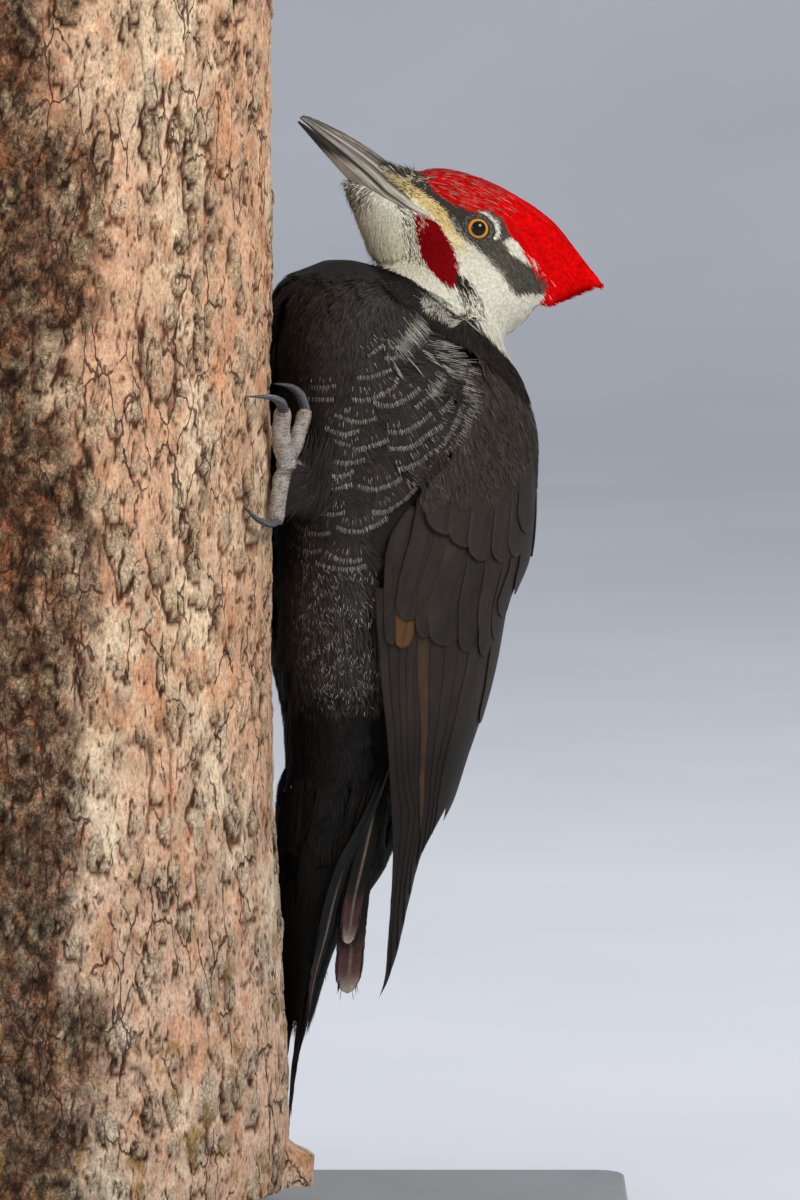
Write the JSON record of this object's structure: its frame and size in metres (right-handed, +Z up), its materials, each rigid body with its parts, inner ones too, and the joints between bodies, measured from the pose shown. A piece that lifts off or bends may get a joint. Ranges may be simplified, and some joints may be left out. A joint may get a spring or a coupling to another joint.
{
  "type": "pileated woodpecker figure",
  "caption": "Life-size male pileated woodpecker clinging to a cut length of bark-covered trunk on a flat display stand, head turned with its bill raised.",
  "frame": {"origin": "centre of the stand's underside, at the bottom centre of the bounding box", "axes": "+Z up along the trunk, +X from the trunk towards the bird, +Y away from the side the bird's left faces"},
  "size_m": [0.36, 0.24, 0.515],
  "materials": {
    "plumage_black": "soft brown-black body feathers",
    "plumage_white": "soft cream-white feathers of face and neck",
    "crest_red": "bright red crown and crest feathers",
    "flight_feather": "stiff brown-black wing and tail feathers",
    "bill_horn": "grey and ivory horn, worn at the tip",
    "eye": "wet, gloss, golden iris round a black pupil",
    "foot_skin": "scaly grey-cream skin",
    "claw_horn": "slate horn, polished",
    "bark": "rough flaking conifer bark",
    "stand": "satin grey"
  },
  "bodies": {
    "root": {"belly": "plumage_black", "bill_lower": "bill_horn", "bill_upper": "bill_horn", "breast_and_back": "plumage_black", "crest": "crest_red", "eye_left": "eye", "eye_right": "eye", "foot_left_hind_claw": "claw_horn", "foot_left_hind_toe": "foot_skin", "foot_left_hub": "foot_skin", "foot_left_inner_claw": "claw_horn", "foot_left_inner_toe": "foot_skin", "foot_left_middle_claw": "claw_horn", "foot_left_middle_toe": "foot_skin", "foot_left_outer_claw": "claw_horn", "foot_left_outer_toe": "foot_skin", "foot_right_hind_claw": "claw_horn", "foot_right_hind_toe": "foot_skin", "foot_right_hub": "foot_skin", "foot_right_inner_claw": "claw_horn", "foot_right_inner_toe": "foot_skin", "foot_right_middle_claw": "claw_horn", "foot_right_middle_toe": "foot_skin", "foot_right_outer_claw": "claw_horn", "foot_right_outer_toe": "foot_skin", "head": "plumage_white", "leg_left": "foot_skin", "leg_right": "foot_skin", "neck": "plumage_white", "rump_and_undertail": "plumage_black", "stand_base": "stand", "stand_rod_back": "stand", "stand_rod_front": "stand", "tail_left_1": "flight_feather", "tail_left_2": "flight_feather", "tail_left_3": "flight_feather", "tail_left_4": "flight_feather", "tail_left_5": "flight_feather", "tail_left_6": "flight_feather", "tail_right_1": "flight_feather", "tail_right_2": "flight_feather", "tail_right_3": "flight_feather", "tail_right_4": "flight_feather", "tail_right_5": "flight_feather", "tail_right_6": "flight_feather", "trunk_length": "bark", "wing_left_coverts": "flight_feather", "wing_left_primaries": "flight_feather", "wing_left_secondaries": "flight_feather", "wing_right_coverts": "flight_feather", "wing_right_primaries": "flight_feather", "wing_right_secondaries": "flight_feather"}
  },
  "joints": []
}
